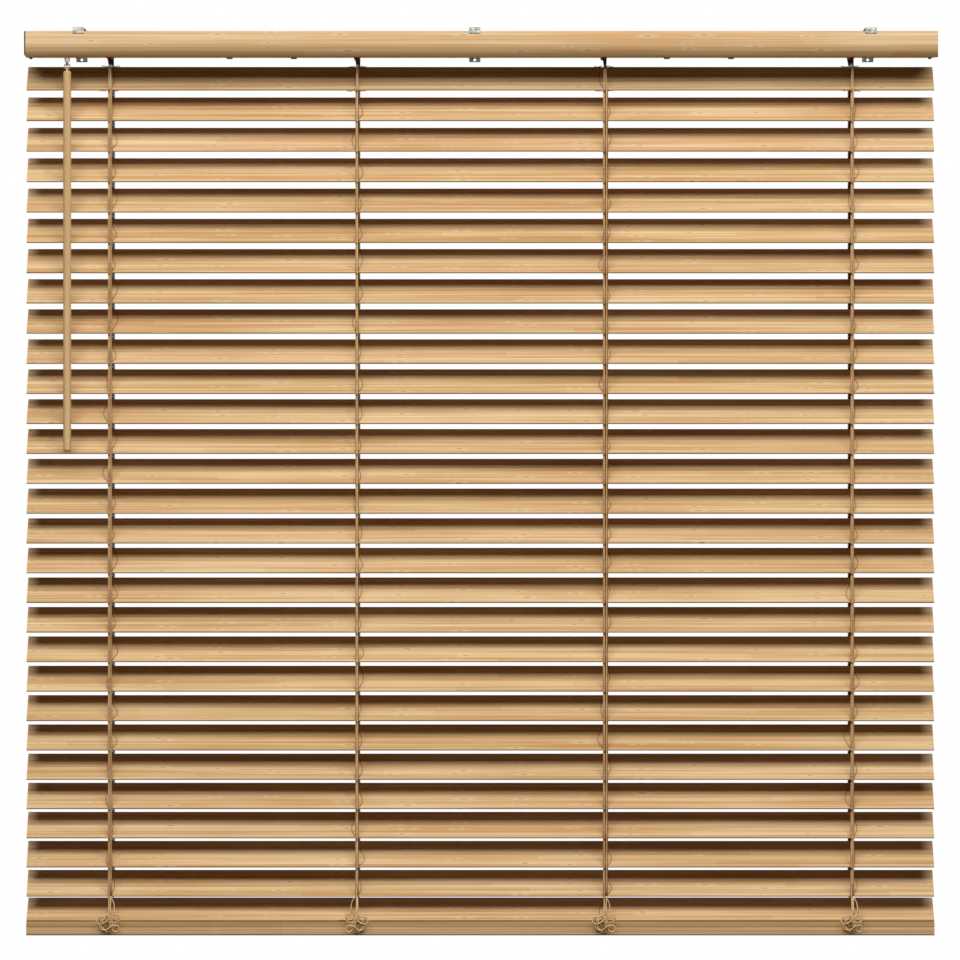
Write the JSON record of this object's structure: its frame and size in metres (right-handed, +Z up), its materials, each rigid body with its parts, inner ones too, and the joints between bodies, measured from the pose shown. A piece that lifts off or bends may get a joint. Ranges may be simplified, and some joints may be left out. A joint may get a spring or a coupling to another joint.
{
  "type": "venetian blind",
  "caption": "Wide bamboo venetian blind with a bowed valance, steel wall brackets, slats tilted by a hanging wand and a sprung lift.",
  "frame": {"origin": "centre of the middle bracket's screw hole, in the wall plane", "axes": "+X along the blind, +Y into the wall, +Z up"},
  "size_m": [1.3027, 0.0782, 1.2954],
  "materials": {
    "bamboo": "satin lacquer",
    "wand_bamboo": "satin lacquer",
    "cord": "braided",
    "clear_plastic": "clear",
    "zinc": "zinc plated",
    "painted_steel": "satin",
    "rod_steel": "drawn",
    "plastic": "moulded"
  },
  "bodies": {
    "head_rail": {"head_rail": "painted_steel", "valance": "bamboo", "end_cap_left": "plastic", "end_cap_right": "plastic", "bracket_left": "zinc", "bracket_middle": "zinc", "bracket_right": "zinc", "drum_cradles": "plastic", "tilter_housing": "plastic", "lift_unit_left": "plastic", "lift_unit_right": "plastic", "ladder_top_ends": "cord", "ladder_tails": "cord", "slat_propped": "bamboo", "resting_slat_1": "bamboo", "resting_slat_2": "bamboo", "resting_slat_3": "bamboo", "bottom_rail": "bamboo", "cord_bundle_1": "cord", "cord_bundle_2": "cord", "cord_bundle_3": "cord", "cord_bundle_4": "cord"},
    "tilter_stem": {"tilter_worm": "clear_plastic"},
    "wand": {"wand_link": "clear_plastic", "wand": "wand_bamboo"},
    "tilt_rod": {"tilt_rod": "rod_steel", "tilt_drums": "plastic", "tilter_wheel": "plastic"},
    "slat_01": {"slat_01": "bamboo"},
    "slat_02": {"slat_02": "bamboo"},
    "slat_03": {"slat_03": "bamboo"},
    "slat_04": {"slat_04": "bamboo"},
    "slat_05": {"slat_05": "bamboo"},
    "slat_06": {"slat_06": "bamboo"},
    "slat_07": {"slat_07": "bamboo"},
    "slat_08": {"slat_08": "bamboo"},
    "slat_09": {"slat_09": "bamboo"},
    "slat_10": {"slat_10": "bamboo"},
    "slat_11": {"slat_11": "bamboo"},
    "slat_12": {"slat_12": "bamboo"},
    "slat_13": {"slat_13": "bamboo"},
    "slat_14": {"slat_14": "bamboo"},
    "slat_15": {"slat_15": "bamboo"},
    "slat_16": {"slat_16": "bamboo"},
    "slat_17": {"slat_17": "bamboo"},
    "slat_18": {"slat_18": "bamboo"},
    "slat_19": {"slat_19": "bamboo"},
    "slat_20": {"slat_20": "bamboo"},
    "slat_21": {"slat_21": "bamboo"},
    "slat_22": {"slat_22": "bamboo"},
    "slat_23": {"slat_23": "bamboo"},
    "slat_24": {"slat_24": "bamboo"},
    "slat_25": {"slat_25": "bamboo"},
    "slat_26": {"slat_26": "bamboo"},
    "slat_27": {"slat_27": "bamboo"},
    "slat_28": {"slat_28": "bamboo"},
    "front_cords": {"ladder_fronts": "cord", "lift_cords_front": "cord"},
    "back_cords": {"ladder_backs": "cord", "lift_cords_back": "cord"}
  },
  "joints": [
    {"name": "wand_turn", "type": "hinge", "parent": "head_rail", "child": "tilter_stem", "pos_m": [-0.5816, -0.0602, -0.0094], "axis": [0, 0, 1], "range_deg": [-1800, 360], "deforming": ["ladder_top_ends", "ladder_tails"]},
    {"name": "wand_swing", "type": "hinge", "parent": "tilter_stem", "child": "wand", "pos_m": [-0.5816, -0.0602, -0.0094], "axis": [1, 0, 0], "range_deg": [-45, 0]},
    {"name": "rod_turn", "type": "hinge", "parent": "head_rail", "child": "tilt_rod", "pos_m": [-0.5816, -0.0452, 0.0208], "axis": [1, 0, 0], "range_deg": [-180, 36]},
    {"name": "slat_01_tilt", "type": "hinge", "parent": "head_rail", "child": "slat_01", "pos_m": [0.008, -0.029, -0.0288], "axis": [1, 0, 0], "range_deg": [-110, 22]},
    {"name": "slat_02_tilt", "type": "hinge", "parent": "head_rail", "child": "slat_02", "pos_m": [0.008, -0.029, -0.07255], "axis": [1, 0, 0], "range_deg": [-110, 22]},
    {"name": "slat_03_tilt", "type": "hinge", "parent": "head_rail", "child": "slat_03", "pos_m": [0.008, -0.029, -0.11622], "axis": [1, 0, 0], "range_deg": [-110, 22]},
    {"name": "slat_04_tilt", "type": "hinge", "parent": "head_rail", "child": "slat_04", "pos_m": [0.008, -0.029, -0.1598], "axis": [1, 0, 0], "range_deg": [-110, 22]},
    {"name": "slat_05_tilt", "type": "hinge", "parent": "head_rail", "child": "slat_05", "pos_m": [0.008, -0.029, -0.2033], "axis": [1, 0, 0], "range_deg": [-110, 22]},
    {"name": "slat_06_tilt", "type": "hinge", "parent": "head_rail", "child": "slat_06", "pos_m": [0.008, -0.029, -0.24672], "axis": [1, 0, 0], "range_deg": [-110, 22]},
    {"name": "slat_07_tilt", "type": "hinge", "parent": "head_rail", "child": "slat_07", "pos_m": [0.008, -0.029, -0.29006], "axis": [1, 0, 0], "range_deg": [-110, 22]},
    {"name": "slat_08_tilt", "type": "hinge", "parent": "head_rail", "child": "slat_08", "pos_m": [0.008, -0.029, -0.33331], "axis": [1, 0, 0], "range_deg": [-110, 22]},
    {"name": "slat_09_tilt", "type": "hinge", "parent": "head_rail", "child": "slat_09", "pos_m": [0.008, -0.029, -0.37649], "axis": [1, 0, 0], "range_deg": [-110, 22]},
    {"name": "slat_10_tilt", "type": "hinge", "parent": "head_rail", "child": "slat_10", "pos_m": [0.008, -0.029, -0.41957], "axis": [1, 0, 0], "range_deg": [-110, 22]},
    {"name": "slat_11_tilt", "type": "hinge", "parent": "head_rail", "child": "slat_11", "pos_m": [0.008, -0.029, -0.46258], "axis": [1, 0, 0], "range_deg": [-110, 22]},
    {"name": "slat_12_tilt", "type": "hinge", "parent": "head_rail", "child": "slat_12", "pos_m": [0.008, -0.029, -0.5055], "axis": [1, 0, 0], "range_deg": [-110, 22]},
    {"name": "slat_13_tilt", "type": "hinge", "parent": "head_rail", "child": "slat_13", "pos_m": [0.008, -0.029, -0.54834], "axis": [1, 0, 0], "range_deg": [-110, 22]},
    {"name": "slat_14_tilt", "type": "hinge", "parent": "head_rail", "child": "slat_14", "pos_m": [0.008, -0.029, -0.5911], "axis": [1, 0, 0], "range_deg": [-110, 22]},
    {"name": "slat_15_tilt", "type": "hinge", "parent": "head_rail", "child": "slat_15", "pos_m": [0.008, -0.029, -0.63377], "axis": [1, 0, 0], "range_deg": [-110, 22]},
    {"name": "slat_16_tilt", "type": "hinge", "parent": "head_rail", "child": "slat_16", "pos_m": [0.008, -0.029, -0.67637], "axis": [1, 0, 0], "range_deg": [-110, 22]},
    {"name": "slat_17_tilt", "type": "hinge", "parent": "head_rail", "child": "slat_17", "pos_m": [0.008, -0.029, -0.71888], "axis": [1, 0, 0], "range_deg": [-110, 22]},
    {"name": "slat_18_tilt", "type": "hinge", "parent": "head_rail", "child": "slat_18", "pos_m": [0.008, -0.029, -0.7613], "axis": [1, 0, 0], "range_deg": [-110, 22]},
    {"name": "slat_19_tilt", "type": "hinge", "parent": "head_rail", "child": "slat_19", "pos_m": [0.008, -0.029, -0.80365], "axis": [1, 0, 0], "range_deg": [-110, 22]},
    {"name": "slat_20_tilt", "type": "hinge", "parent": "head_rail", "child": "slat_20", "pos_m": [0.008, -0.029, -0.84591], "axis": [1, 0, 0], "range_deg": [-110, 22]},
    {"name": "slat_21_tilt", "type": "hinge", "parent": "head_rail", "child": "slat_21", "pos_m": [0.008, -0.029, -0.88809], "axis": [1, 0, 0], "range_deg": [-110, 22]},
    {"name": "slat_22_tilt", "type": "hinge", "parent": "head_rail", "child": "slat_22", "pos_m": [0.008, -0.029, -0.93019], "axis": [1, 0, 0], "range_deg": [-110, 22]},
    {"name": "slat_23_tilt", "type": "hinge", "parent": "head_rail", "child": "slat_23", "pos_m": [0.008, -0.029, -0.9722], "axis": [1, 0, 0], "range_deg": [-110, 22]},
    {"name": "slat_24_tilt", "type": "hinge", "parent": "head_rail", "child": "slat_24", "pos_m": [0.008, -0.029, -1.01413], "axis": [1, 0, 0], "range_deg": [-110, 22]},
    {"name": "slat_25_tilt", "type": "hinge", "parent": "head_rail", "child": "slat_25", "pos_m": [0.008, -0.029, -1.05598], "axis": [1, 0, 0], "range_deg": [-110, 22]},
    {"name": "slat_26_tilt", "type": "hinge", "parent": "head_rail", "child": "slat_26", "pos_m": [0.008, -0.029, -1.09774], "axis": [1, 0, 0], "range_deg": [-110, 22]},
    {"name": "slat_27_tilt", "type": "hinge", "parent": "head_rail", "child": "slat_27", "pos_m": [0.008, -0.029, -1.13942], "axis": [1, 0, 0], "range_deg": [-110, 22]},
    {"name": "slat_28_tilt", "type": "hinge", "parent": "head_rail", "child": "slat_28", "pos_m": [0.008, -0.029, -1.18102], "axis": [1, 0, 0], "range_deg": [-110, 22]},
    {"name": "front_cords_hang", "type": "hinge", "parent": "slat_15", "child": "front_cords", "pos_m": [0.008, -0.04698, -0.65114], "axis": [1, 0, 0], "range_deg": [-22, 110]},
    {"name": "back_cords_hang", "type": "hinge", "parent": "slat_15", "child": "back_cords", "pos_m": [0.008, -0.01102, -0.61641], "axis": [1, 0, 0], "range_deg": [-22, 110]}
  ],
  "couplings": [
    {"joint": "rod_turn", "follows": "wand_turn", "ratio": 0.1},
    {"joint": "slat_01_tilt", "follows": "wand_turn", "ratio": 0.061111},
    {"joint": "slat_02_tilt", "follows": "wand_turn", "ratio": 0.061111},
    {"joint": "slat_03_tilt", "follows": "wand_turn", "ratio": 0.061111},
    {"joint": "slat_04_tilt", "follows": "wand_turn", "ratio": 0.061111},
    {"joint": "slat_05_tilt", "follows": "wand_turn", "ratio": 0.061111},
    {"joint": "slat_06_tilt", "follows": "wand_turn", "ratio": 0.061111},
    {"joint": "slat_07_tilt", "follows": "wand_turn", "ratio": 0.061111},
    {"joint": "slat_08_tilt", "follows": "wand_turn", "ratio": 0.061111},
    {"joint": "slat_09_tilt", "follows": "wand_turn", "ratio": 0.061111},
    {"joint": "slat_10_tilt", "follows": "wand_turn", "ratio": 0.061111},
    {"joint": "slat_11_tilt", "follows": "wand_turn", "ratio": 0.061111},
    {"joint": "slat_12_tilt", "follows": "wand_turn", "ratio": 0.061111},
    {"joint": "slat_13_tilt", "follows": "wand_turn", "ratio": 0.061111},
    {"joint": "slat_14_tilt", "follows": "wand_turn", "ratio": 0.061111},
    {"joint": "slat_15_tilt", "follows": "wand_turn", "ratio": 0.061111},
    {"joint": "slat_16_tilt", "follows": "wand_turn", "ratio": 0.061111},
    {"joint": "slat_17_tilt", "follows": "wand_turn", "ratio": 0.061111},
    {"joint": "slat_18_tilt", "follows": "wand_turn", "ratio": 0.061111},
    {"joint": "slat_19_tilt", "follows": "wand_turn", "ratio": 0.061111},
    {"joint": "slat_20_tilt", "follows": "wand_turn", "ratio": 0.061111},
    {"joint": "slat_21_tilt", "follows": "wand_turn", "ratio": 0.061111},
    {"joint": "slat_22_tilt", "follows": "wand_turn", "ratio": 0.061111},
    {"joint": "slat_23_tilt", "follows": "wand_turn", "ratio": 0.061111},
    {"joint": "slat_24_tilt", "follows": "wand_turn", "ratio": 0.061111},
    {"joint": "slat_25_tilt", "follows": "wand_turn", "ratio": 0.061111},
    {"joint": "slat_26_tilt", "follows": "wand_turn", "ratio": 0.061111},
    {"joint": "slat_27_tilt", "follows": "wand_turn", "ratio": 0.061111},
    {"joint": "slat_28_tilt", "follows": "wand_turn", "ratio": 0.061111},
    {"joint": "front_cords_hang", "follows": "wand_turn", "ratio": -0.061111},
    {"joint": "back_cords_hang", "follows": "wand_turn", "ratio": -0.061111}
  ]
}
